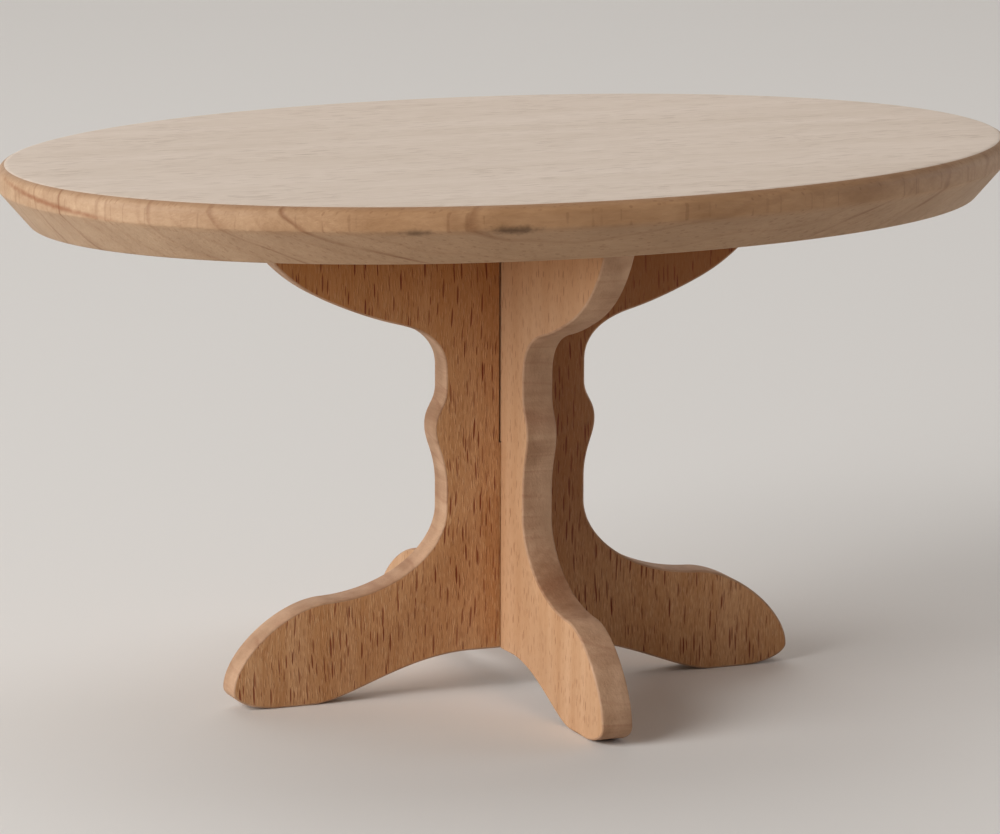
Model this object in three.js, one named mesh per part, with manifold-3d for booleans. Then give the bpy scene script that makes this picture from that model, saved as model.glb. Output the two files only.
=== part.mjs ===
// A miniature pedestal dining table in solid beech: an oval top with a bevelled underside edge, on two sawn
// boards that cross at right angles in a halving joint, with four dowels between the arms and the top.
// Millimetres. +X along the oval, +Y across it, +Z up. The origin is on the floor under the crossing.
import * as THREE from "three";
import { mergeVertices } from "three/addons/utils/BufferGeometryUtils.js";
import Module from "manifold-3d";

const wasm = await Module();
wasm.setup();

// Whole table
const HEIGHT = 62;

// Oval top
const TOP_LENGTH = 117.8;
const TOP_WIDTH = 78.6;
const OVAL_FULLNESS = 2.03; // exponent of the outline: 2 is a plain ellipse, and more is fuller at the corners
const BAND_HEIGHT = 2.65; // upright part of the edge, from the top face down
const BEVEL_HEIGHT = 4.1; // bevel from the band down to the underside
const BEVEL_INSET = 3.55;
const RIM_EASE_INSET = 1.3; // softened upper arris: how far in, and how far down
const RIM_EASE_DROP = 1.25;

// Leg boards, both of one stock and sawn to one pattern, with the feet finished by hand
const BOARD_THICKNESS = 3.6;
const BOARD_EASE = 0.22; // sanded arrises
const ARM_REACH = 32; // centre line to the end of an arm
const ARM_EDGE_MARGIN = 2; // least distance from an arm's end to the edge of the underside
const ARM_SWELL = { out: 22.2, drop: 9.45 }; // where the arm's hollow curve turns into its swelling end
const ARM_ROOT = { out: 14, drop: 12.45 }; // where the fillet into the column begins
const WAIST = 8.45; // half width of the column
const BEAD = 9.75; // and at the bead
const COLUMN_HEAD_DROP = 17.9; // column's upper end below the underside of the top
const COLUMN_FOOT = 21.2; // column's lower end above the floor
const BEAD_SPAN = [0.16, 0.58, 0.86]; // bead's lower end, widest point and upper end, as shares up the column
const TOE_HEIGHT = 2.2; // height of the foremost point of a foot
const SOLE_START = 5.3; // the flat that stands on the floor begins this far behind the toe
const SOLE_LENGTH = 4.2;
const ARCH_HEIGHT = 4.7;
const ARCH_FLAT = 5.5; // half width of the level stretch in the middle of the arch
// Each foot: how far its toe comes out from the centre line, and the place of its instep, [out, up].
const SIDE_FOOT = { reach: 33.95, instep: [22.2, 11.75] };
const FRONT_FOOT = { reach: 31.9, instep: [21.5, 12.2] };
const BACK_FOOT = { reach: 37.3, instep: [22.5, 11] };

// How each stretch of the outline bends: at each end, the shares of its width and of its height that its
// tangent handle takes.
const BENDS = {
  armEnd: { leave: [0.21, 0.45], arrive: [0.46, 0.22] },
  armHollow: { leave: [0.37, 0.46], arrive: [0.3, 0.21] },
  columnHead: { leave: [0.67, 0.18], arrive: [0, 0.48] },
  beadTop: { leave: [0, 0.45], arrive: [0, 0.48] },
  beadFoot: { leave: [0, 0.3], arrive: [0, 0.52] },
  columnFoot: { leave: [0, 0.47], arrive: [0.59, 0.04] },
  footBack: { leave: [0.45, 0], arrive: [0, 0.41] },
  toe: { leave: [0, 0.56], arrive: [0.47, 0] },
  arch: { leave: [0.22, 0], arrive: [0.42, 0] },
};

// Halving joint
const HALVING_HEIGHT = 28.6; // where the two slots meet, above the floor
const SLOT_CLEARANCE = 0.12; // on each side of a board in its slot, and between the slots' ends

// Dowels between the arms and the top
const DOWEL_DIAMETER = 1.8;
const DOWEL_CLEARANCE = 0.12;
const DOWEL_PLACE = 18; // out from the centre line
const DOWEL_IN_TOP = 3;
const DOWEL_IN_BOARD = 5;
const GLUE_GAP = 0.1; // between an arm's top edge and the underside

// How finely the curves are cut up
const OVAL_POINTS = 160;
const CURVE_STEPS = 14;
const RIM_EASE_STEPS = 6;
const BOARD_EASE_STEPS = 2;
const DOWEL_SIDES = 32;
const WELD_DISTANCE = 1e-4;

const OVERCUT = 5; // how far a cutting block runs past the face it opens

const UNDERSIDE = HEIGHT - BAND_HEIGHT - BEVEL_HEIGHT;
const BOARD_TOP = UNDERSIDE - GLUE_GAP;
const COLUMN_HEAD = UNDERSIDE - COLUMN_HEAD_DROP;

const asManifold = (geometry) => {
  const bare = geometry.index ? geometry.toNonIndexed() : geometry.clone();
  bare.deleteAttribute("normal");
  bare.deleteAttribute("uv");
  const merged = mergeVertices(bare, WELD_DISTANCE);
  return new wasm.Manifold(
    new wasm.Mesh({
      numProp: 3,
      vertProperties: merged.attributes.position.array,
      triVerts: new Uint32Array(merged.index.array),
    }),
  );
};

const asGeometry = (manifold) => {
  const { vertProperties, triVerts, numProp } = manifold.getMesh();
  const geometry = new THREE.BufferGeometry();
  const buffer = new THREE.InterleavedBuffer(vertProperties, numProp);
  geometry.setAttribute("position", new THREE.InterleavedBufferAttribute(buffer, 3, 0));
  geometry.setIndex(new THREE.BufferAttribute(triVerts, 1));
  const plain = geometry.toNonIndexed();
  plain.computeVertexNormals();
  return plain;
};

const cut = (geometry, cutters) =>
  asGeometry(cutters.reduce((body, cutter) => body.subtract(asManifold(cutter)), asManifold(geometry)));

const block = (low, high) => {
  const size = high.map((value, axis) => value - low[axis]);
  const middle = high.map((value, axis) => (value + low[axis]) / 2);
  return new THREE.BoxGeometry(...size).translate(...middle);
};

const upright = (radius, low, high, x, y) =>
  new THREE.CylinderGeometry(radius, radius, high - low, DOWEL_SIDES)
    .rotateX(Math.PI / 2)
    .translate(x, y, (low + high) / 2);

// A point of the oval, drawn in from the rim by inset, at height z.
const ovalPoint = (angle, inset, z) => {
  const along = (value) => Math.sign(value) * Math.abs(value) ** (2 / OVAL_FULLNESS);
  return [
    (TOP_LENGTH / 2 - inset) * along(Math.cos(angle)),
    (TOP_WIDTH / 2 - inset) * along(Math.sin(angle)),
    z,
  ];
};

// A closed body through rings from the bottom up, each [inset, z], with a flat cap at each end.
const ovalBody = (rings) => {
  const points = rings.flatMap(([inset, z]) =>
    Array.from({ length: OVAL_POINTS }, (_, i) => ovalPoint((2 * Math.PI * i) / OVAL_POINTS, inset, z)),
  );
  const faces = [];
  for (let ring = 0; ring < rings.length - 1; ring++) {
    for (let i = 0; i < OVAL_POINTS; i++) {
      const next = (i + 1) % OVAL_POINTS;
      const a = ring * OVAL_POINTS + i;
      const b = ring * OVAL_POINTS + next;
      faces.push(a, b, b + OVAL_POINTS, a, b + OVAL_POINTS, a + OVAL_POINTS);
    }
  }
  const bottomCentre = points.push([0, 0, rings[0][1]]) - 1;
  const topCentre = points.push([0, 0, rings.at(-1)[1]]) - 1;
  const lastRing = (rings.length - 1) * OVAL_POINTS;
  for (let i = 0; i < OVAL_POINTS; i++) {
    const next = (i + 1) % OVAL_POINTS;
    faces.push(bottomCentre, next, i, topCentre, lastRing + i, lastRing + next);
  }
  const geometry = new THREE.BufferGeometry();
  geometry.setAttribute("position", new THREE.Float32BufferAttribute(points.flat(), 3));
  return geometry.setIndex(faces);
};

// Bevel, band, and a quarter round on the upper arris.
const topRings = () => {
  const ease = Array.from({ length: RIM_EASE_STEPS + 1 }, (_, i) => {
    const turn = (Math.PI / 2) * (i / RIM_EASE_STEPS);
    return [RIM_EASE_INSET * (1 - Math.cos(turn)), HEIGHT - RIM_EASE_DROP * (1 - Math.sin(turn))];
  });
  return [[BEVEL_INSET, UNDERSIDE], [0, HEIGHT - BAND_HEIGHT], ...ease];
};

// Adds a curve from the outline's last point to end, bent as the named entry of BENDS says.
const bend = (outline, name, end) => {
  const { leave, arrive } = BENDS[name];
  const start = outline.currentPoint.toArray();
  const span = end.map((value, axis) => value - start[axis]);
  outline.bezierCurveTo(
    ...start.map((value, axis) => value + leave[axis] * span[axis]),
    ...end.map((value, axis) => value - arrive[axis] * span[axis]),
    ...end,
  );
};

// One side of a leg board's outline, from the middle of its top edge down to the middle of the arch.
const legSide = ({ reach, instep }) => {
  const armReach = Math.min(ARM_REACH, TOP_WIDTH / 2 - BEVEL_INSET - ARM_EDGE_MARGIN);
  const [beadLow, beadCrown, beadHigh] = BEAD_SPAN.map((share) =>
    THREE.MathUtils.lerp(COLUMN_FOOT, COLUMN_HEAD, share));
  const sole = reach - SOLE_START;
  const side = new THREE.Path();
  side.moveTo(0, BOARD_TOP);
  side.lineTo(armReach, BOARD_TOP);
  bend(side, "armEnd", [ARM_SWELL.out, UNDERSIDE - ARM_SWELL.drop]);
  bend(side, "armHollow", [ARM_ROOT.out, UNDERSIDE - ARM_ROOT.drop]);
  bend(side, "columnHead", [WAIST, COLUMN_HEAD]);
  side.lineTo(WAIST, beadHigh);
  bend(side, "beadTop", [BEAD, beadCrown]);
  bend(side, "beadFoot", [WAIST, beadLow]);
  side.lineTo(WAIST, COLUMN_FOOT);
  bend(side, "columnFoot", instep);
  bend(side, "footBack", [reach, TOE_HEIGHT]);
  bend(side, "toe", [sole, 0]);
  side.lineTo(sole - SOLE_LENGTH, 0);
  bend(side, "arch", [ARCH_FLAT, ARCH_HEIGHT]);
  side.lineTo(0, ARCH_HEIGHT);
  return side.curves.flatMap((curve) =>
    curve.isLineCurve ? [curve.v2] : curve.getPoints(CURVE_STEPS).slice(1));
};

// A leg board standing in the XZ plane, centred on it, before its slot and dowel holes are cut.
const legBlank = (...feet) => {
  const [right, left] = feet.map(legSide);
  const mirrored = left.slice(0, -1).map((point) => new THREE.Vector2(-point.x, point.y)).reverse();
  const outline = new THREE.Shape([...right, ...mirrored].reverse());
  return new THREE.ExtrudeGeometry(outline, {
    depth: BOARD_THICKNESS - 2 * BOARD_EASE,
    bevelSize: BOARD_EASE,
    bevelThickness: BOARD_EASE,
    bevelOffset: -BOARD_EASE,
    bevelSegments: BOARD_EASE_STEPS,
    curveSegments: 1,
  })
    .translate(0, 0, BOARD_EASE - BOARD_THICKNESS / 2)
    .rotateX(Math.PI / 2);
};

const slot = (low, high) => {
  const half = BOARD_THICKNESS / 2 + SLOT_CLEARANCE;
  return block([-half, -BOARD_THICKNESS, low], [half, BOARD_THICKNESS, high]);
};

const armHoles = () =>
  [-1, 1].map((sign) =>
    upright(DOWEL_DIAMETER / 2 + DOWEL_CLEARANCE, BOARD_TOP - DOWEL_IN_BOARD - DOWEL_CLEARANCE,
      BOARD_TOP + OVERCUT, sign * DOWEL_PLACE, 0));

const longLeg = () =>
  cut(legBlank(SIDE_FOOT, SIDE_FOOT), [slot(HALVING_HEIGHT - SLOT_CLEARANCE / 2, HEIGHT), ...armHoles()]);

// Turned so that its right foot comes to the front.
const crossLeg = () =>
  cut(legBlank(FRONT_FOOT, BACK_FOOT), [slot(-OVERCUT, HALVING_HEIGHT + SLOT_CLEARANCE / 2), ...armHoles()])
    .rotateZ(-Math.PI / 2);

const DOWELS = {
  left: [-DOWEL_PLACE, 0],
  right: [DOWEL_PLACE, 0],
  front: [0, -DOWEL_PLACE],
  back: [0, DOWEL_PLACE],
};

const tableTop = () =>
  cut(ovalBody(topRings()), Object.values(DOWELS).map(([x, y]) =>
    upright(DOWEL_DIAMETER / 2 + DOWEL_CLEARANCE, UNDERSIDE - OVERCUT,
      UNDERSIDE + DOWEL_IN_TOP + DOWEL_CLEARANCE, x, y)));

const dowel = () =>
  upright(DOWEL_DIAMETER / 2, UNDERSIDE - DOWEL_IN_BOARD, UNDERSIDE + DOWEL_IN_TOP - GLUE_GAP, 0, 0);

const wood = (colour, roughness) => new THREE.MeshStandardMaterial({ color: colour, roughness, metalness: 0 });
const topBeech = () => wood("#cdb79f", 0.62);
const longBeech = () => wood("#8f6545", 0.68);
const crossBeech = () => wood("#bb8a63", 0.66);
const dowelBeech = () => wood("#c69c74", 0.7);

const piece = (name, geometry, material) => {
  const mesh = new THREE.Mesh(geometry, material);
  mesh.name = name;
  return mesh;
};

const table = new THREE.Group();
table.name = "miniature_dining_table";
table.add(piece("table_top", tableTop(), topBeech()));
table.add(piece("long_leg_board", longLeg(), longBeech()));
table.add(piece("cross_leg_board", crossLeg(), crossBeech()));
for (const [side, [x, y]] of Object.entries(DOWELS)) {
  const pin = piece(`top_dowel_${side}`, dowel(), dowelBeech());
  pin.position.set(x, y, 0);
  table.add(pin);
}

export default table;
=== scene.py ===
"""The finished look of a miniature pedestal dining table in plain sanded beech.

The oval top, the two crossed leg boards and the four dowels are each made here as a finer piece that stands
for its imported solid. Shapes are worked out in millimetres and brought to metres as each piece is finished.
"""

import math
from functools import partial

import bmesh
import bpy
from mathutils import Matrix, Vector
from mathutils.geometry import interpolate_bezier


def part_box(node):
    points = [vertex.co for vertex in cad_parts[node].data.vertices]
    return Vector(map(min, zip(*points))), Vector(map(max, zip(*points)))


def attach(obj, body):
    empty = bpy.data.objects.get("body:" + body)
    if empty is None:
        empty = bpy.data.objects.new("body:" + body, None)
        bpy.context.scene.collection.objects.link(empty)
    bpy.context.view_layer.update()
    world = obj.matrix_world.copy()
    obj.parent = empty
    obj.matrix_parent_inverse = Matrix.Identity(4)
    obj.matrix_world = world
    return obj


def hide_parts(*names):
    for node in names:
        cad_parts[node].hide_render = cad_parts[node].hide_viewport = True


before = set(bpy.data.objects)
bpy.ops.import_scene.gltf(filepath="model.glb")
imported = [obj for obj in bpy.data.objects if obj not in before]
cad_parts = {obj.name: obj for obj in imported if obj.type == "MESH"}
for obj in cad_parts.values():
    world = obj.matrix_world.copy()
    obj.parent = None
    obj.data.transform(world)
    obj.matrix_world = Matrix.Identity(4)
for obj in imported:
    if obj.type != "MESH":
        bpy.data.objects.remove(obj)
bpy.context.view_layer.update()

MM = 0.001

# ---------------------------------------------------------------- sizes, in millimetres

# Oval top
OVAL_FULLNESS = 2.03  # exponent of the outline: 2 is a plain ellipse
BAND_HEIGHT = 2.65
BEVEL_INSET = 3.55
RIM_EASE = 1.28  # round of the upper arris
FACE_DROP = 0.15  # the sander that finished the top face has also taken this much of the round
ARRIS_EASE = 0.5  # sanded arrises at the two ends of the bevel
FLAT_RING = 6  # the level faces have a ring of points this far in from the rim
OVAL_POINTS = 360
EASE_STEPS = 8
WELD_DISTANCE = 0.0005  # corners nearer to each other than this become one

# Leg boards
BOARD_EASE = 0.22
SLOT_EASE = 0.05  # the saw leaves the slots' own arrises nearly sharp
ARM_REACH = 32
ARM_SWELL = (22.2, 9.45)  # out from the middle, and down from the underside of the top
ARM_ROOT = (14, 12.45)
WAIST = 8.45
BEAD = 9.75
COLUMN_HEAD_DROP = 17.9
COLUMN_FOOT = 21.2
BEAD_SPAN = (0.16, 0.58, 0.86)  # bead's lower end, widest point and upper end, as shares up the column
SIDE_INSTEP = (22.2, 11.75)
FRONT_INSTEP = (21.5, 12.2)
BACK_INSTEP = (22.5, 11)
TOE_HEIGHT = 2.2
SOLE_START = 5.3
SOLE_LENGTH = 4.2
ARCH_HEIGHT = 4.7
ARCH_FLAT = 5.5
HALVING_HEIGHT = 28.6
LONG_BOARD_CLEARANCE = 0.18  # on each side of the other board in the slot
CROSS_BOARD_CLEARANCE = 0.12
SLOT_END_GAP = 0.06  # from each slot's end to the halving height
CURVE_STEPS = 40
BOARD_EASE_STEPS = 4

# At each end of a stretch, the shares of its width and height that its tangent handle takes.
BENDS = {
    "arm_end": ((0.21, 0.45), (0.46, 0.22)),
    "arm_hollow": ((0.37, 0.46), (0.3, 0.21)),
    "column_head": ((0.67, 0.18), (0, 0.48)),
    "bead_top": ((0, 0.45), (0, 0.48)),
    "bead_foot": ((0, 0.3), (0, 0.52)),
    "column_foot": ((0, 0.47), (0.59, 0.04)),
    "foot_back": ((0.45, 0), (0, 0.41)),
    "toe": ((0, 0.56), (0.47, 0)),
    "arch": ((0.22, 0), (0.42, 0)),
}

# Dowels
DOWEL_CLEARANCE = 0.12
DOWEL_CHAMFER = 0.3
ROUND_SIDES = 48  # of each dowel and each hole


def box_mm(node):
    """Lowest and highest corner of a CAD node, in millimetres."""
    return [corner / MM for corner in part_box(node)]


top_low, top_high = box_mm("table_top")
long_low, long_high = box_mm("long_leg_board")
cross_low, cross_high = box_mm("cross_leg_board")
dowel_low, dowel_high = box_mm("top_dowel_right")
UNDERSIDE = top_low.z
BOARD_TOP = long_high.z
THICKNESS = long_high.y - long_low.y
COLUMN_HEAD = UNDERSIDE - COLUMN_HEAD_DROP
DOWEL_RADIUS = (dowel_high.x - dowel_low.x) / 2
DOWEL_PLACE = (dowel_high.x + dowel_low.x) / 2
HOLE_RADIUS = DOWEL_RADIUS + DOWEL_CLEARANCE


# ---------------------------------------------------------------- node trees

def feed(tree, socket, value):
    """Gives a socket its value: a plain one, an output, or a node's first output in use."""
    if isinstance(value, bpy.types.Node):
        value = next(s for s in value.outputs if s.enabled)
    if isinstance(value, bpy.types.NodeSocket):
        tree.links.new(value, socket)
    else:
        socket.default_value = value


def node(tree, kind, links=None, **settings):
    """Adds a node with its settings. links gives what goes into a socket, by the socket's name or number."""
    made = tree.nodes.new(kind)
    for setting, value in settings.items():
        setattr(made, setting, value)
    for name, value in (links or {}).items():
        named = [s for s in made.inputs if s.enabled and s.name == name]
        feed(tree, made.inputs[name] if isinstance(name, int) else named[0], value)
    return made


def calc(add, operation, *values):
    """The result of one sum."""
    return add("ShaderNodeMath", dict(enumerate(values)), operation=operation)


def place_calc(add, operation, *values):
    """The result of one sum on places or directions."""
    return add("ShaderNodeVectorMath", dict(enumerate(values)), operation=operation)


def ramp(add, value, start, end, low=0, high=1, soft=False):
    """Goes from low to high while value goes from start to end, and eases in and out of it if soft."""
    links = {"Value": value, "From Min": start, "From Max": end, "To Min": low, "To Max": high}
    return add("ShaderNodeMapRange", links, interpolation_type="SMOOTHSTEP" if soft else "LINEAR")


def tone(code):
    """A linear colour from sRGB hex."""
    shares = [int(code[i:i + 2], 16) / 255 for i in (1, 3, 5)]
    linear = [s / 12.92 if s <= 0.04045 else ((s + 0.055) / 1.055) ** 2.4 for s in shares]
    return (*linear, 1)


# ---------------------------------------------------------------- beech

# Bare beech: wood cell walls of IOR 1.5 with no coat over them, so it has only a broad, dull sheen.
BEECH_IOR = 1.5
RELIEF = 0.05  # height of the sanded surface's unevenness, in millimetres
WANDER = 1.6  # the most that fibres could stray sideways, in millimetres, though few stray half as far
WANDER_LENGTH = 15
RING_BULGE = 9  # how far growth rings stray from true rounds, in millimetres
RING_BULGE_LENGTH = 14
HALF = (0.5, 0.5, 0.5)  # the middle of a noise colour


def place_mm(add):
    """Place on the table, in millimetres."""
    return place_calc(add, "MULTIPLY", add("ShaderNodeTexCoord").outputs["Object"], [1 / MM] * 3)


def grain_space(add, across, along, through):
    """Place in the timber in millimetres: across the grain, along it and through the board, a little wavy."""
    axes = add("ShaderNodeSeparateXYZ", {"Vector": place_mm(add)}).outputs
    straight = add("ShaderNodeCombineXYZ", {"X": axes[across], "Y": axes[along], "Z": axes[through]})
    wander = add("ShaderNodeTexNoise", {"Vector": straight, "Scale": 1 / WANDER_LENGTH, "Detail": 1})
    shift = place_calc(add, "SUBTRACT", wander.outputs["Color"], HALF)
    return place_calc(add, "MULTIPLY_ADD", shift, (WANDER, 0, WANDER), straight)


def streaks(add, grain, width, length, detail=3):
    """Soft fibre streaks of about that width and length in millimetres, from 0 to 1."""
    drawn = place_calc(add, "MULTIPLY", grain, (1 / width, 1 / length, 1 / width))
    noise = add("ShaderNodeTexNoise", {"Vector": drawn, "Scale": 1, "Detail": detail, "Roughness": 0.6})
    return ramp(add, noise, 0.3, 0.7)


def flecks(add, grain, cell, reach, layers=2):
    """Spindle-shaped marks, one in each cell of a field of cells drawn out along the grain, from 0 to 1."""
    marks = None
    for layer in range(layers):
        offset = (3.7 * layer, 8.3 * layer, 0)
        drawn = place_calc(add, "MULTIPLY_ADD", grain, (1 / cell[0], 1 / cell[1], 0), offset)
        cells = add("ShaderNodeTexVoronoi", {"Vector": drawn, "Scale": 1}, voronoi_dimensions="2D")
        chance = add("ShaderNodeSeparateColor", {"Color": cells.outputs["Color"]}).outputs
        size = ramp(add, chance[0], 0, 1, *reach)
        share = calc(add, "DIVIDE", cells.outputs["Distance"], size)
        shape = ramp(add, share, 0.6, 1, 1, 0, soft=True)
        depth = ramp(add, chance[1], 0, 1, 0.35, 1)
        mark = calc(add, "MULTIPLY", shape, depth)
        marks = mark if marks is None else calc(add, "MAXIMUM", marks, mark)
    return marks


def growth_rings(add, grain, pith, spacing, line):
    """Rings round a pith at (across, through), as thin late-wood lines that fade on one side, from 0 to 1."""
    slow = place_calc(add, "MULTIPLY", grain, (1, 0.5, 1))
    warp = add("ShaderNodeTexNoise", {"Vector": slow, "Scale": 1 / RING_BULGE_LENGTH, "Detail": 2})
    bulge = calc(add, "MULTIPLY", warp, RING_BULGE)
    flat = place_calc(add, "MULTIPLY_ADD", grain, (1, 0, 1), (-pith[0], 0, -pith[1]))
    radius = place_calc(add, "LENGTH", flat).outputs["Value"]
    grown_out = calc(add, "ADD", radius, bulge)
    turns = calc(add, "DIVIDE", grown_out, spacing)
    share = calc(add, "FRACT", turns)
    crest = 1 - line * 0.3
    rise = ramp(add, share, 1 - line, crest, soft=True)
    fall = ramp(add, share, crest, 1, 1, 0)
    return calc(add, "MULTIPLY", rise, fall)


def stain(add, middle, reach, lean=0):
    """One dark mark in the wood, ragged at its rim, from 0 to 1. Its middle and reach are in millimetres, and
    it climbs by lean for each millimetre that it runs back."""
    place = place_mm(add)
    away = place_calc(add, "SUBTRACT", place, middle)
    climb = place_calc(add, "DOT_PRODUCT", away, (0, lean, 0)).outputs["Value"]
    level = place_calc(add, "SUBTRACT", away, add("ShaderNodeCombineXYZ", {"Z": climb}))
    ragged = add("ShaderNodeTexNoise", {"Vector": place, "Scale": 1.3, "Detail": 2})
    shift = place_calc(add, "SUBTRACT", ragged.outputs["Color"], HALF)
    moved = place_calc(add, "MULTIPLY_ADD", shift, reach, level)
    share = place_calc(add, "DIVIDE", moved, reach)
    distance = place_calc(add, "LENGTH", share).outputs["Value"]
    return ramp(add, distance, 0.1, 1.1, 1, 0, soft=True)


def tinted(add, under, over, factor, strength=1.0):
    """Colour under, with over laid on it where factor is high."""
    share = calc(add, "MULTIPLY", factor, strength)
    return add("ShaderNodeMix", {"Factor": share, "A": under, "B": over}, data_type="RGBA")


def wood_shader(name, build):
    """A material whose colour and relief come from build(add), which returns (colour, height, roughness)."""
    material = bpy.data.materials.new(name)
    material.use_nodes = True
    tree = material.node_tree
    tree.nodes.clear()
    add = partial(node, tree)
    colour, height, roughness = build(add)
    bump = add("ShaderNodeBump", {"Height": height, "Strength": 0.6, "Distance": RELIEF * MM})
    shader = add("ShaderNodeBsdfPrincipled", {"Base Color": colour, "Normal": bump, "Roughness": roughness,
                                              "IOR": BEECH_IOR})
    add("ShaderNodeOutputMaterial", {"Surface": shader})
    return material


def sanded_top(add):
    """Flat-sawn beech, machine sanded: pale and matt, with low streaks and a few short flecks along it."""
    grain = grain_space(add, 1, 0, 2)
    soft = streaks(add, grain, 4, 45)
    fine = streaks(add, grain, 0.5, 5)
    dashes = flecks(add, grain, (0.9, 7), (0.03, 0.22), 3)
    pale = flecks(add, place_calc(add, "ADD", grain, (23, 41, 0)), (1.1, 8), (0.05, 0.25))
    patchy = calc(add, "MULTIPLY", dashes, streaks(add, grain, 9, 14, 1))
    colour = tinted(add, tone("#d8c9bb"), tone("#cebeae"), soft)
    colour = tinted(add, colour, tone("#b79e88"), fine, 0.11)
    colour = tinted(add, colour, tone("#e6d9cc"), pale, 0.22)
    colour = tinted(add, colour, tone("#7d6049"), patchy, 0.42)
    height = calc(add, "SUBTRACT", fine, dashes)
    return colour, height, 0.6


# Dark marks near the arris between band and bevel: each its middle, its reach along, across and up, its lean,
# its colour and its strength. The last is the reddish line that comes down to the arris from the left tip.
STAINS = [
    ((-15, -38, 59.3), (3.8, 1.6, 0.7), 0, "#4a3422", 0.7),
    ((-25, -35.7, 59.2), (2.4, 1.2, 0.6), 0, "#4a3422", 0.6),
    ((-57, -9, 60.25), (12, 14, 0.42), 0.097, "#8a5230", 0.62),
]
ARRIS_SHADE_DEPTH = 0.6  # the upper arris is darker down to this far below the top face: a thin darker line, and painted shade that damps the highlight the round catches
END_GRAIN = (28, 57)  # out along the oval, where the cut edge turns from side grain to end grain
RINGS_CROSS = (8, 26)  # and where the rings come to cross it


def shaped_edge(add):
    """The oval's sanded edge: warm side grain along its sides and paler, greyer end grain at its tips, with a
    few late-wood lines crossing it."""
    grain = grain_space(add, 1, 0, 2)
    place = add("ShaderNodeSeparateXYZ", {"Vector": place_mm(add)}).outputs
    out = calc(add, "ABSOLUTE", place["X"])
    # The rings cross the edge towards the tips, and run along it at the sides, where they hardly show.
    rings = growth_rings(add, grain, pith=(-160, 88), spacing=5.2, line=0.11)
    crossing = ramp(add, out, *RINGS_CROSS, low=0.2)
    broken = calc(add, "MULTIPLY", crossing, streaks(add, grain, 5, 5, 1))
    rings = calc(add, "MULTIPLY", rings, broken)
    lesser_rings = growth_rings(add, grain, pith=(-140, 100), spacing=3.1, line=0.2)
    soft = streaks(add, grain, 3, 9)
    fine = streaks(add, grain, 0.25, 1.6)
    pores = flecks(add, grain, (0.5, 1.8), (0.05, 0.2))
    end_grain = ramp(add, out, *END_GRAIN)
    arris_shade = ramp(add, place["Z"], top_high.z - ARRIS_SHADE_DEPTH, top_high.z - FACE_DROP)
    band_foot = top_high.z - BAND_HEIGHT
    slant_cut_and_bounce = ramp(add, place["Z"], band_foot + 0.3, band_foot - 0.6)
    side = tinted(add, tone("#c29c78"), tone("#aa8460"), soft)
    end = tinted(add, tone("#c8ab8e"), tone("#b19276"), soft)
    colour = tinted(add, side, end, end_grain)
    # The bevel cuts the fibres slantwise, and it is a little paler than the band; the paling is partly
    # painted light, standing in for the floor's light thrown up onto the bevel.
    colour = tinted(add, colour, tone("#b69e86"), slant_cut_and_bounce, 0.5)
    colour = tinted(add, colour, tone("#8a5f3e"), lesser_rings, 0.14)
    colour = tinted(add, colour, tone("#7a4b2a"), rings, 0.6)
    # Darker line along the upper arris, and painted shade against the round's highlight.
    colour = tinted(add, colour, tone("#8d6a4c"), arris_shade, 0.45)
    colour = tinted(add, colour, tone("#8f6846"), fine, 0.18)
    colour = tinted(add, colour, tone("#7c5233"), pores, 0.3)
    for middle, reach, lean, dark, strength in STAINS:
        colour = tinted(add, colour, tone(dark), stain(add, middle, reach, lean), strength)
    height = calc(add, "SUBTRACT", fine, rings)
    return colour, height, 0.58


SHADE_UNDER_TOP_HEIGHTS = (30, 56)  # painted shade: the long board's face turns darker and redder between these heights, towards its arms, under the top
CROSS_BOARD_SHADOW_SPAN = (1, 4.5)  # to the right of its middle, where painted shade sets in: the cross board's shadow on the long board's face
CROSS_BOARD_SHADOW_HEIGHTS = (9, 25)  # and the heights between which that painted shade sets in


def flecked_face(add):
    """Tangential face of flat-sawn beech, sanded: mid brown, thick with the dark spindle ends of the rays."""
    grain = grain_space(add, 0, 2, 1)
    soft = streaks(add, grain, 3, 40)
    fibre = streaks(add, grain, 0.22, 4)
    bold = flecks(add, grain, (0.74, 8.4), (0.03, 0.185), 3)
    faint = flecks(add, grain, (0.3, 2.6), (0.06, 0.26), 3)
    pale = flecks(add, place_calc(add, "ADD", grain, (31, 17, 0)), (0.34, 2.2), (0.06, 0.26), 3)
    place = add("ShaderNodeSeparateXYZ", {"Vector": place_mm(add)}).outputs
    shade_under_top = ramp(add, place["Z"], *SHADE_UNDER_TOP_HEIGHTS, soft=True)
    cross_board_shadow = ramp(add, place["X"], *CROSS_BOARD_SHADOW_SPAN, soft=True)
    shadow_rising = ramp(add, place["Z"], *CROSS_BOARD_SHADOW_HEIGHTS, soft=True)
    cross_board_shadow = calc(add, "MULTIPLY", cross_board_shadow, shadow_rising)
    colour = tinted(add, tone("#d2a880"), tone("#c39467"), soft)
    colour = tinted(add, colour, tone("#a26e42"), fibre, 0.46)
    colour = tinted(add, colour, tone("#95613b"), faint, 0.55)
    colour = tinted(add, colour, tone("#ddb995"), pale, 0.4)
    # Painted shade under the top: darker and redder towards the arms.
    colour = tinted(add, colour, tone("#a56822"), shade_under_top, 0.64)
    # Painted shade to the right of the middle, in the cross board's shadow and under the top.
    colour = tinted(add, colour, tone("#8c5424"), cross_board_shadow, 0.55)
    colour = tinted(add, colour, tone("#7a3009"), bold, 0.94)
    height = calc(add, "SUBTRACT", pale, bold)
    return colour, height, 0.66


ARM_SHADE_HEIGHTS = (42, 56)  # painted shade: the cross board's face is warmer between these heights and above, where the top shades its arms


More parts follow.
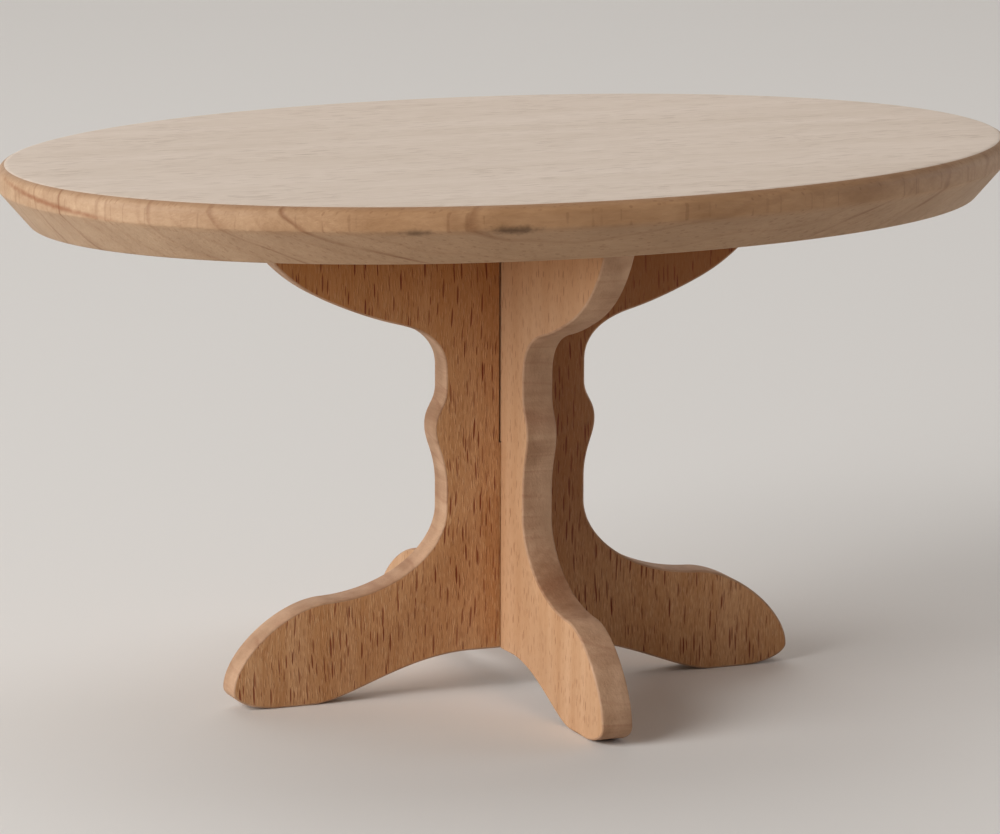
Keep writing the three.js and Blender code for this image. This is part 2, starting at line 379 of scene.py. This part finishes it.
def lined_face(add):
    """Radial face of quarter-sawn beech, sanded: light and warm, with fine short lines along the grain."""
    grain = grain_space(add, 1, 2, 0)
    soft = streaks(add, grain, 2.5, 60)
    lines = flecks(add, grain, (0.9, 4.8), (0.02, 0.15), 3)
    faint = flecks(add, grain, (0.5, 2.4), (0.05, 0.24), 3)
    height_up = add("ShaderNodeSeparateXYZ", {"Vector": place_mm(add)}).outputs["Z"]
    warm = ramp(add, height_up, *ARM_SHADE_HEIGHTS, soft=True)
    colour = tinted(add, tone("#c9a483"), tone("#bc9471"), soft)
    # Painted shade under the top: warmer on the cross board's arms.
    colour = tinted(add, colour, tone("#cc9055"), warm, 0.35)
    colour = tinted(add, colour, tone("#a97c57"), faint, 0.36)
    colour = tinted(add, colour, tone("#84502c"), lines, 0.6)
    height = calc(add, "SUBTRACT", soft, lines)
    return colour, height, 0.64


FOOT_HOLLOW_SHADE = (0, -15, 15), (4, 9, 8)  # painted shade in the hollow of the front foot's edge: middle and reach


def sawn_edge(add):
    """Beech edge fretsawn and rubbed down: greyer and closer, with faint cloudy bands and a thin reddish line
    here and there where the saw crossed the rings."""
    grain = grain_space(add, 0, 2, 1)
    lines = growth_rings(add, grain_space(add, 2, 0, 1), pith=(-200, 60), spacing=2.6, line=0.2)
    bands = streaks(add, grain, 12, 1.1)
    cloud = streaks(add, grain, 3, 6, 2)
    patch = streaks(add, grain, 6, 9, 1)
    marks = calc(add, "MULTIPLY", bands, patch)
    lines = calc(add, "MULTIPLY", lines, patch)
    fine = streaks(add, grain, 0.35, 0.5)
    colour = tinted(add, tone("#cba98d"), tone("#b19074"), cloud)
    colour = tinted(add, colour, tone("#8a5138"), lines, 0.28)
    colour = tinted(add, colour, tone("#87593c"), marks, 0.45)
    colour = tinted(add, colour, tone("#8a6549"), fine, 0.08)
    # Painted shade, darker and warmer, in the hollow of the front foot.
    colour = tinted(add, colour, tone("#84542f"), stain(add, *FOOT_HOLLOW_SHADE), 0.5)
    height = calc(add, "ADD", fine, bands)
    return colour, height, 0.7


def turned_dowel(add):
    """Beech dowel rod, turned: straight grained, with fine lines along it."""
    grain = grain_space(add, 0, 2, 1)
    fine = streaks(add, grain, 0.15, 4)
    lines = flecks(add, grain, (0.3, 3), (0.05, 0.2))
    colour = tinted(add, tone("#d6ad84"), tone("#b98a60"), fine)
    return tinted(add, colour, tone("#8d5a36"), lines, 0.5), fine, 0.7


# ---------------------------------------------------------------- finishing a piece

SQUARE_ON = 0.9999  # a face this nearly square to an axis counts as flat
SHARP_ANGLE = math.radians(32)


def finish_piece(mesh, name, stands_for, flat_axis=None):
    """Turns a mesh in millimetres into a piece of the table. Faces square to flat_axis are shaded flat."""
    mesh.transform(Matrix.Scale(MM, 4))
    mesh.name = name
    for face in mesh.polygons:
        face.use_smooth = flat_axis is None or abs(face.normal[flat_axis]) < SQUARE_ON
    mesh.set_sharp_from_angle(angle=SHARP_ANGLE)
    piece = bpy.data.objects.new(name, mesh)
    bpy.context.scene.collection.objects.link(piece)
    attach(piece, "root")
    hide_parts(stands_for)


def evaluated_mesh(work):
    """The plain mesh that an object's modifiers make. The object is removed."""
    graph = bpy.context.evaluated_depsgraph_get()
    mesh = bpy.data.meshes.new_from_object(work.evaluated_get(graph))
    bpy.data.objects.remove(work)
    return mesh


def grown(tree, values):
    """The mesh that a Geometry Nodes tree makes from its named inputs."""
    work = bpy.data.objects.new("work", bpy.data.meshes.new("work"))
    bpy.context.scene.collection.objects.link(work)
    modifier = work.modifiers.new("grown", "NODES")
    modifier.node_group = tree
    for item in tree.interface.items_tree:
        if item.in_out == "INPUT" and item.name in values:
            modifier[item.identifier] = values[item.name]
    bpy.context.view_layer.update()
    return evaluated_mesh(work)


def new_tree(name, inputs):
    """An empty Geometry Nodes tree with those inputs, as (tree, add, sockets by name)."""
    tree = bpy.data.node_groups.new(name, "GeometryNodeTree")
    for label, kind in inputs.items():
        tree.interface.new_socket(label, in_out="INPUT", socket_type=kind)
    tree.interface.new_socket("Geometry", in_out="OUTPUT", socket_type="NodeSocketGeometry")
    add = partial(node, tree)
    return tree, add, add("NodeGroupInput").outputs


def by_index(tree, add, kind, values):
    """A different value at each point of a line, in order."""
    switch = add("GeometryNodeIndexSwitch", data_type=kind)
    for _ in values[2:]:
        switch.index_switch_items.new()
    for i, value in enumerate([add("GeometryNodeInputIndex"), *values]):
        feed(tree, switch.inputs[i], value)
    return switch


# ---------------------------------------------------------------- the oval top

def oval_tree():
    """The top: a section of bevel, band and rounded arris carried round an oval, with four blind holes."""
    sizes = ["Length", "Width", "Height", "Underside", "Fullness", "Band Height", "Bevel Inset", "Rim Ease",
             "Face Drop", "Arris Ease", "Hole Radius", "Hole Place", "Hole Depth"]
    inputs = dict.fromkeys(sizes, "NodeSocketFloat")
    inputs |= {"Points Round": "NodeSocketInt", "Ease Steps": "NodeSocketInt"}
    inputs |= {"Face": "NodeSocketMaterial", "Edge": "NodeSocketMaterial"}
    tree, add, given = new_tree("oval_top", inputs)

    # The section is a line in a space of its own: (share of the way out, inset from the rim, height).
    band_foot = calc(add, "SUBTRACT", given["Height"], given["Band Height"])
    corners = [
        (0, FLAT_RING, given["Underside"], 0),
        (1, FLAT_RING, given["Underside"], 0),
        (1, given["Bevel Inset"], given["Underside"], given["Arris Ease"]),
        (1, 0, band_foot, given["Arris Ease"]),
        (1, 0, given["Height"], given["Rim Ease"]),
        (1, FLAT_RING, given["Height"], 0),
        (0, FLAT_RING, given["Height"], 0),
    ]
    places = [add("ShaderNodeCombineXYZ", dict(zip("XYZ", corner))) for corner in corners]
    place = by_index(tree, add, "VECTOR", places)
    ease = by_index(tree, add, "FLOAT", [corner[-1] for corner in corners])
    chain = add("GeometryNodeMeshLine", {"Count": len(corners)})
    chain = add("GeometryNodeSetPosition", {"Geometry": chain, "Position": place})
    section = add("GeometryNodeFilletCurve", {"Curve": add("GeometryNodeMeshToCurve", {"Mesh": chain}),
                                              "Count": given["Ease Steps"], "Radius": ease}, mode="POLY")
    around = add("GeometryNodeAttributeDomainSize", {"Geometry": section}, component="CURVE")
    section_points = around.outputs["Point Count"]

    # A grid whose rows are copies of the section, one for each step round the oval.
    index = add("GeometryNodeInputIndex")
    rows = calc(add, "ADD", given["Points Round"], 1)
    sheet = add("GeometryNodeMeshGrid", {"Vertices X": rows, "Vertices Y": section_points})
    row = calc(add, "FLOOR", calc(add, "DIVIDE", index, section_points))
    column = calc(add, "FLOORED_MODULO", index, section_points)
    point = add("GeometryNodeSampleIndex", {"Geometry": section, "Value": add("GeometryNodeInputPosition"),
                                            "Index": column}, data_type="FLOAT_VECTOR", domain="POINT")
    parts = add("ShaderNodeSeparateXYZ", {"Vector": point}).outputs
    turn = calc(add, "DIVIDE", row, given["Points Round"])
    angle = calc(add, "MULTIPLY", turn, math.tau)
    power = calc(add, "DIVIDE", 2.0, given["Fullness"])
    sides = []
    for wave, extent in (("COSINE", "Length"), ("SINE", "Width")):
        swing = calc(add, wave, angle)
        size = calc(add, "ABSOLUTE", swing)
        size = calc(add, "POWER", size, power)
        sign = calc(add, "SIGN", swing)
        size = calc(add, "MULTIPLY", size, sign)
        half = calc(add, "MULTIPLY", given[extent], 0.5)
        half = calc(add, "SUBTRACT", half, parts["Y"])
        half = calc(add, "MULTIPLY", half, parts["X"])
        sides.append(calc(add, "MULTIPLY", half, size))
    spot = add("ShaderNodeCombineXYZ", {"X": sides[0], "Y": sides[1], "Z": parts["Z"]})
    body = add("GeometryNodeSetPosition", {"Geometry": sheet, "Position": spot})
    body = add("GeometryNodeMergeByDistance", {"Geometry": body, "Distance": WELD_DISTANCE})

    # Four blind holes up into the underside, a quarter turn apart.
    ring = add("GeometryNodeMeshCircle", {"Vertices": 4, "Radius": given["Hole Place"]})
    depth = calc(add, "MULTIPLY", given["Hole Depth"], 2.0)
    drill = add("GeometryNodeMeshCylinder", {"Vertices": ROUND_SIDES, "Radius": given["Hole Radius"],
                                             "Depth": depth})
    holes = add("GeometryNodeInstanceOnPoints", {"Points": ring, "Instance": drill.outputs["Mesh"]})
    lift = add("ShaderNodeCombineXYZ", {"Z": given["Underside"]})
    holes = add("GeometryNodeRealizeInstances", {"Geometry": holes})
    holes = add("GeometryNodeTransform", {"Geometry": holes, "Translation": lift})
    body = add("GeometryNodeMeshBoolean", {"Mesh 1": body, "Mesh 2": holes}, operation="DIFFERENCE",
               solver="EXACT")
    # Where a hole's rim crosses the sheet's own lines, corners that all but meet become one.
    body = add("GeometryNodeMergeByDistance", {"Geometry": body, "Distance": WELD_DISTANCE})

    height = add("ShaderNodeSeparateXYZ", {"Vector": add("GeometryNodeInputPosition")}).outputs["Z"]
    face_foot = calc(add, "SUBTRACT", given["Height"], given["Face Drop"])
    is_face = add("FunctionNodeCompare", {"A": height, "B": face_foot}, data_type="FLOAT",
                  operation="GREATER_THAN")
    body = add("GeometryNodeRealizeInstances", {"Geometry": body})
    body = add("GeometryNodeSetMaterial", {"Geometry": body, "Material": given["Edge"]})
    body = add("GeometryNodeSetMaterial", {"Geometry": body, "Selection": is_face, "Material": given["Face"]})
    add("NodeGroupOutput", {"Geometry": body})
    return tree


def make_top():
    mesh = grown(oval_tree(), {
        "Length": top_high.x - top_low.x,
        "Width": top_high.y - top_low.y,
        "Height": top_high.z,
        "Underside": UNDERSIDE,
        "Fullness": OVAL_FULLNESS,
        "Band Height": BAND_HEIGHT,
        "Bevel Inset": BEVEL_INSET,
        "Rim Ease": RIM_EASE,
        "Face Drop": FACE_DROP,
        "Arris Ease": ARRIS_EASE,
        "Points Round": OVAL_POINTS,
        "Ease Steps": EASE_STEPS,
        "Hole Radius": HOLE_RADIUS,
        "Hole Place": DOWEL_PLACE,
        "Hole Depth": dowel_high.z - UNDERSIDE + DOWEL_CLEARANCE,
        "Face": wood_shader("beech_sanded_top", sanded_top),
        "Edge": wood_shader("beech_shaped_edge", shaped_edge),
    })
    finish_piece(mesh, "oval_top", "table_top", flat_axis=2)


# ---------------------------------------------------------------- the leg boards

SHORTEST_MITRE = 0.5  # keeps an arris on a very sharp corner from running away


def bend(outline, name, end):
    """Carries the outline from its last point to end, on the curve that BENDS names."""
    leave, arrive = BENDS[name]
    start, end = outline[-1], Vector(end)
    span = end - start
    leaving = start + Vector((leave[0] * span.x, leave[1] * span.y))
    arriving = end - Vector((arrive[0] * span.x, arrive[1] * span.y))
    outline.extend(interpolate_bezier(start, leaving, arriving, end, CURVE_STEPS)[1:])


def leg_side(reach, instep):
    """One side of a leg board's outline, from the end of its arm down to the level middle of the arch."""
    bead_low, bead_crown, bead_high = [COLUMN_FOOT + (COLUMN_HEAD - COLUMN_FOOT) * s for s in BEAD_SPAN]
    sole = reach - SOLE_START
    side = [Vector((ARM_REACH, BOARD_TOP))]
    bend(side, "arm_end", (ARM_SWELL[0], UNDERSIDE - ARM_SWELL[1]))
    bend(side, "arm_hollow", (ARM_ROOT[0], UNDERSIDE - ARM_ROOT[1]))
    bend(side, "column_head", (WAIST, COLUMN_HEAD))
    side.append(Vector((WAIST, bead_high)))
    bend(side, "bead_top", (BEAD, bead_crown))
    bend(side, "bead_foot", (WAIST, bead_low))
    side.append(Vector((WAIST, COLUMN_FOOT)))
    bend(side, "column_foot", instep)
    bend(side, "foot_back", (reach, TOE_HEIGHT))
    bend(side, "toe", (sole, 0))
    side.append(Vector((sole - SOLE_LENGTH, 0)))
    bend(side, "arch", (ARCH_FLAT, ARCH_HEIGHT))
    return side


def board_outline(feet, slot_mouth, slot_end, clearance):
    """The outline, clockwise from the right arm, as (point, ease) pairs. Each foot is (reach, instep)."""
    right, left = [leg_side(*foot) for foot in feet]
    left = [Vector((-p.x, p.y)) for p in reversed(left)]
    half = THICKNESS / 2 + clearance
    slot = [Vector(p) for p in ((half, slot_mouth), (half, slot_end), (-half, slot_end), (-half, slot_mouth))]
    sides = [(p, BOARD_EASE) for p in right], [(p, BOARD_EASE) for p in left]
    saw_cut = [(p, SLOT_EASE) for p in slot]
    if slot_mouth < slot_end:
        return sides[0] + saw_cut + sides[1]
    return sides[0] + sides[1] + saw_cut[::-1]


def outward(points, i):
    """The mitred outward normal of a clockwise outline at point i."""
    before = (points[i] - points[i - 1]).normalized()
    after = (points[(i + 1) % len(points)] - points[i]).normalized()
    normals = [Vector((-d.y, d.x)) for d in (before, after)]
    middle = (normals[0] + normals[1]).normalized()
    return middle / max(middle.dot(normals[0]), SHORTEST_MITRE)


def board_mesh(outline):
    """A board standing on the outline in the XZ plane, its faces flat and its arrises rounded over."""
    points = [p for p, _ in outline]
    normals = [outward(points, i) for i in range(len(points))]
    quarter = [math.pi / 2 * step / BOARD_EASE_STEPS for step in range(BOARD_EASE_STEPS + 1)]
    rings = [(-1, turn) for turn in reversed(quarter)] + [(1, turn) for turn in quarter]
    made = bmesh.new()
    loops = []
    for side, turn in rings:
        loop = []
        for (point, ease), normal in zip(outline, normals):
            drawn_in = point - normal * ease * (1 - math.cos(turn))
            depth = side * (THICKNESS / 2 - ease * (1 - math.sin(turn)))
            loop.append(made.verts.new((drawn_in.x, depth, drawn_in.y)))
        loops.append(loop)
    for low, high in zip(loops, loops[1:]):
        for i in range(len(low)):
            j = (i + 1) % len(low)
            made.faces.new((low[i], low[j], high[j], high[i])).material_index = 1
    made.faces.new(loops[0])
    made.faces.new(loops[-1])
    bmesh.ops.recalc_face_normals(made, faces=made.faces)
    mesh = bpy.data.meshes.new("board")
    made.to_mesh(mesh)
    made.free()
    return mesh


def drilled(mesh):
    """The board with a blind dowel hole down into each arm."""
    work = bpy.data.objects.new("work", mesh)
    drills = bmesh.new()
    depth = BOARD_TOP - dowel_low.z + DOWEL_CLEARANCE
    for side in (-1, 1):
        place = Matrix.Translation((side * DOWEL_PLACE, 0, BOARD_TOP))
        bmesh.ops.create_cone(drills, cap_ends=True, segments=ROUND_SIDES, radius1=HOLE_RADIUS,
                              radius2=HOLE_RADIUS, depth=2 * depth, matrix=place)
    drill_mesh = bpy.data.meshes.new("drills")
    drills.to_mesh(drill_mesh)
    drills.free()
    drill = bpy.data.objects.new("drills", drill_mesh)
    for made in (work, drill):
        bpy.context.scene.collection.objects.link(made)
    cut = work.modifiers.new("holes", "BOOLEAN")
    cut.operation = "DIFFERENCE"
    cut.solver = "EXACT"
    cut.object = drill
    bpy.context.view_layer.update()
    finished = evaluated_mesh(work)
    bpy.data.objects.remove(drill)
    return finished


def make_board(name, node_name, outline, turn, face, edge):
    mesh = board_mesh(outline)
    mesh.materials.append(face)
    mesh.materials.append(edge)
    mesh = drilled(mesh)
    mesh.transform(Matrix.Rotation(turn, 4, "Z"))
    finish_piece(mesh, name, node_name, flat_axis=1 if turn == 0 else 0)


def make_boards():
    edge = wood_shader("beech_sawn_edge", sawn_edge)
    outline = board_outline([(long_high.x, SIDE_INSTEP), (-long_low.x, SIDE_INSTEP)],
                            BOARD_TOP, HALVING_HEIGHT - SLOT_END_GAP, LONG_BOARD_CLEARANCE)
    make_board("long_board", "long_leg_board", outline, 0,
               wood_shader("beech_flecked_face", flecked_face), edge)
    outline = board_outline([(-cross_low.y, FRONT_INSTEP), (cross_high.y, BACK_INSTEP)],
                            ARCH_HEIGHT, HALVING_HEIGHT + SLOT_END_GAP, CROSS_BOARD_CLEARANCE)
    # Turned so that its right side comes to the front.
    make_board("cross_board", "cross_leg_board", outline, -math.pi / 2,
               wood_shader("beech_lined_face", lined_face), edge)


# ---------------------------------------------------------------- the dowels

def dowel_tree():
    """A dowel: a round rod with a chamfer at each end, standing at a place."""
    inputs = dict.fromkeys(["Radius", "Low", "High", "Chamfer"], "NodeSocketFloat")
    inputs |= {"Place": "NodeSocketVector", "Wood": "NodeSocketMaterial"}
    tree, add, given = new_tree("dowel", inputs)
    # Heights and radii of the four rings, from the lower end up.
    low_ring = calc(add, "ADD", given["Low"], given["Chamfer"])
    high_ring = calc(add, "SUBTRACT", given["High"], given["Chamfer"])
    tip = calc(add, "SUBTRACT", given["Radius"], given["Chamfer"])
    heights = [given["Low"], low_ring, high_ring, given["High"]]
    radii = [tip, given["Radius"], given["Radius"], tip]
    spot = add("ShaderNodeCombineXYZ", {"Z": by_index(tree, add, "FLOAT", heights)})
    line = add("GeometryNodeMeshLine", {"Count": len(heights)})
    line = add("GeometryNodeSetPosition", {"Geometry": line, "Position": spot})
    path = add("GeometryNodeMeshToCurve", {"Mesh": line})
    ring = add("GeometryNodeCurvePrimitiveCircle", {"Resolution": ROUND_SIDES, "Radius": 1.0})
    rod = add("GeometryNodeCurveToMesh", {"Curve": path, "Profile Curve": ring, "Fill Caps": True,
                                          "Scale": by_index(tree, add, "FLOAT", radii)})
    rod = add("GeometryNodeTransform", {"Geometry": rod, "Translation": given["Place"]})
    rod = add("GeometryNodeRealizeInstances", {"Geometry": rod})
    rod = add("GeometryNodeSetMaterial", {"Geometry": rod, "Material": given["Wood"]})
    add("NodeGroupOutput", {"Geometry": rod})
    return tree


def make_dowels():
    tree = dowel_tree()
    wood = wood_shader("beech_turned_dowel", turned_dowel)
    for side in ("left", "right", "front", "back"):
        low, high = box_mm(f"top_dowel_{side}")
        middle = (low + high) / 2
        mesh = grown(tree, {"Radius": DOWEL_RADIUS, "Low": low.z, "High": high.z, "Chamfer": DOWEL_CHAMFER,
                            "Place": (middle.x, middle.y, 0), "Wood": wood})
        finish_piece(mesh, f"dowel_{side}", f"top_dowel_{side}")


# ---------------------------------------------------------------- floor, light and camera

CAMERA_HEADING = math.radians(21.856)  # to the right of straight ahead
CAMERA_DROP = math.radians(11.25)  # below the level
CAMERA_ROLL = math.radians(0.167)
CAMERA_DISTANCE = 0.7
CAMERA_LENS = 222.4
AIM_SIDEWAYS = -1.085 * MM
TABLE_MIDDLE = Vector((0, 0, top_high.z / 2 * MM))
FLOOR_REACH = 3  # metres each way

# The soft boxes: name, place and size in metres, power in watts, colour.
LIGHTS = [
    ("key_from_the_left", (-0.925, -0.235, 0.45), 0.7, 9.2, "#ffffff"),
    ("fill_from_the_right", (1.0, -0.1, 0.22), 0.6, 2.4, "#edf4ff"),
    ("overhead", (0.05, 0.35, 0.8), 0.7, 1.8, "#ffffff"),
    ("pale_wall_behind", (0.35, 1.3, 0.4), 1.4, 5, "#ffffff"),
]


def make_floor():
    mesh = bpy.data.meshes.new("floor")
    made = bmesh.new()
    bmesh.ops.create_grid(made, x_segments=1, y_segments=1, size=FLOOR_REACH)
    made.to_mesh(mesh)
    made.free()
    floor = bpy.data.objects.new("floor", mesh)
    bpy.context.scene.collection.objects.link(floor)
    material = bpy.data.materials.new("matt_pale_floor")
    material.use_nodes = True
    shader = material.node_tree.nodes["Principled BSDF"]
    shader.inputs["Base Color"].default_value = tone("#e0dedb")
    shader.inputs["Roughness"].default_value = 0.9
    mesh.materials.append(material)


def add_light(name, place, size, power, colour):
    """A square soft box that faces the middle of the table."""
    light = bpy.data.lights.new(name, "AREA")
    light.size = size
    light.energy = power
    light.color = tone(colour)[:3]
    lamp = bpy.data.objects.new(name, light)
    lamp.location = place
    lamp.visible_camera = False
    aim = TABLE_MIDDLE - lamp.location
    lamp.rotation_euler = aim.to_track_quat("-Z", "Y").to_euler()
    bpy.context.scene.collection.objects.link(lamp)


def make_light():
    for light in LIGHTS:
        add_light(*light)
    world = bpy.data.worlds.new("pale_room")
    world.use_nodes = True
    background = world.node_tree.nodes["Background"]
    background.inputs["Color"].default_value = tone("#ffeedd")
    background.inputs["Strength"].default_value = 0.15
    bpy.context.scene.world = world
    bpy.context.scene.view_settings.view_transform = "Standard"
    bpy.context.scene.view_settings.look = "Medium High Contrast"


def make_camera():
    level, drop = math.cos(CAMERA_DROP), math.sin(CAMERA_DROP)
    ahead = Vector((math.sin(CAMERA_HEADING) * level, math.cos(CAMERA_HEADING) * level, -drop))
    right = Vector((math.cos(CAMERA_HEADING), -math.sin(CAMERA_HEADING), 0))
    aim = TABLE_MIDDLE + right * AIM_SIDEWAYS
    lens = bpy.data.cameras.new("camera")
    lens.lens = CAMERA_LENS
    lens.sensor_width = 36
    lens.clip_start = 0.05
    lens.clip_end = 20
    camera = bpy.data.objects.new("camera", lens)
    axes = Matrix((right, right.cross(ahead), -ahead)).transposed().to_4x4()
    camera.matrix_world = Matrix.Translation(aim - ahead * CAMERA_DISTANCE) @ axes @ Matrix.Rotation(
        CAMERA_ROLL, 4, "Z")
    bpy.context.scene.collection.objects.link(camera)
    bpy.context.scene.camera = camera


make_top()
make_boards()
make_dowels()
make_floor()
make_light()
make_camera()
